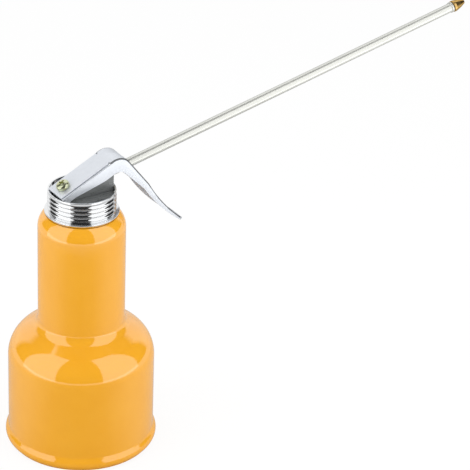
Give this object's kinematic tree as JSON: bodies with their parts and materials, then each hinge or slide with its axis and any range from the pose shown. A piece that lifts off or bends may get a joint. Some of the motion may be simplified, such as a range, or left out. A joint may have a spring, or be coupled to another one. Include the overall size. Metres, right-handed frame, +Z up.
{
  "type": "pump oil can",
  "caption": "Pump oil can: painted steel can with a screw-on pump head, squeeze lever and long straight spout.",
  "frame": {"origin": "middle of the base disc's underside, on the can's axis, 1.5 mm above the surface the can stands on", "axes": "+X along the spout as seen from above, +Z up along the can's axis"},
  "size_m": [0.3147, 0.09, 0.2266],
  "materials": {
    "orange_paint": "glossy enamel",
    "chrome": "bright plated",
    "bright_zinc": "bright zinc plated sheet",
    "dark_steel": "dark brushed sheet",
    "yellow_zinc": "yellow passivated zinc",
    "brass": "turned",
    "plain_steel": "bright turned",
    "black_rubber": "moulded",
    "red_fibre": "vulcanised fibre",
    "white_plastic": "extruded"
  },
  "bodies": {
    "can": {"can_body": "orange_paint", "base_disc": "orange_paint"},
    "gasket": {"cap_gasket": "black_rubber"},
    "head": {"screw_cap": "chrome", "lever_bracket": "dark_steel", "lever_screw": "yellow_zinc", "screw_nut": "yellow_zinc", "spout_tube": "chrome", "spout_nozzle": "brass", "spout_olive": "brass", "spout_nut": "brass", "pump_head": "brass", "gland_packing": "black_rubber", "gland_nut": "brass", "pump_barrel": "brass", "barrel_washer": "red_fibre", "foot_valve": "brass", "ball_retainer": "brass", "suction_tube": "white_plastic", "suction_strainer": "brass"},
    "lever": {"squeeze_lever": "bright_zinc"},
    "plunger": {"plunger_button": "plain_steel", "plunger_rod": "plain_steel", "piston_disc": "brass", "piston_cup": "black_rubber", "piston_washer": "plain_steel", "piston_nut": "plain_steel", "return_spring": "plain_steel"},
    "ball": {"suction_ball": "plain_steel"}
  },
  "joints": [
    {"name": "head_lift", "type": "slide", "parent": "can", "child": "gasket", "axis": [0, 0, 1], "range_m": [0, 0.00675]},
    {"name": "head_unscrew", "type": "hinge", "parent": "gasket", "child": "head", "pos_m": [0, 0, 0.1479], "axis": [0, 0, 1], "range_deg": [0, 900]},
    {"name": "lever_squeeze", "type": "hinge", "parent": "head", "child": "lever", "pos_m": [-0.0148, 0, 0.1609], "axis": [0, 1, 0], "range_deg": [0, 7], "stiffness_Nm_per_rad": 0.2235, "springref_deg": -14.54},
    {"name": "plunger_stroke", "type": "slide", "parent": "head", "child": "plunger", "axis": [0, 0, -1], "range_m": [0, 0.00193], "deforming": ["return_spring"]},
    {"name": "ball_lift", "type": "slide", "parent": "head", "child": "ball", "axis": [0, 0, 1], "range_m": [0, 0.001]}
  ],
  "couplings": [
    {"joint": "head_unscrew", "follows": "head_lift", "rad_per_m": 2327.1},
    {"joint": "lever_squeeze", "follows": "plunger_stroke", "rad_per_m": 63.454}
  ]
}
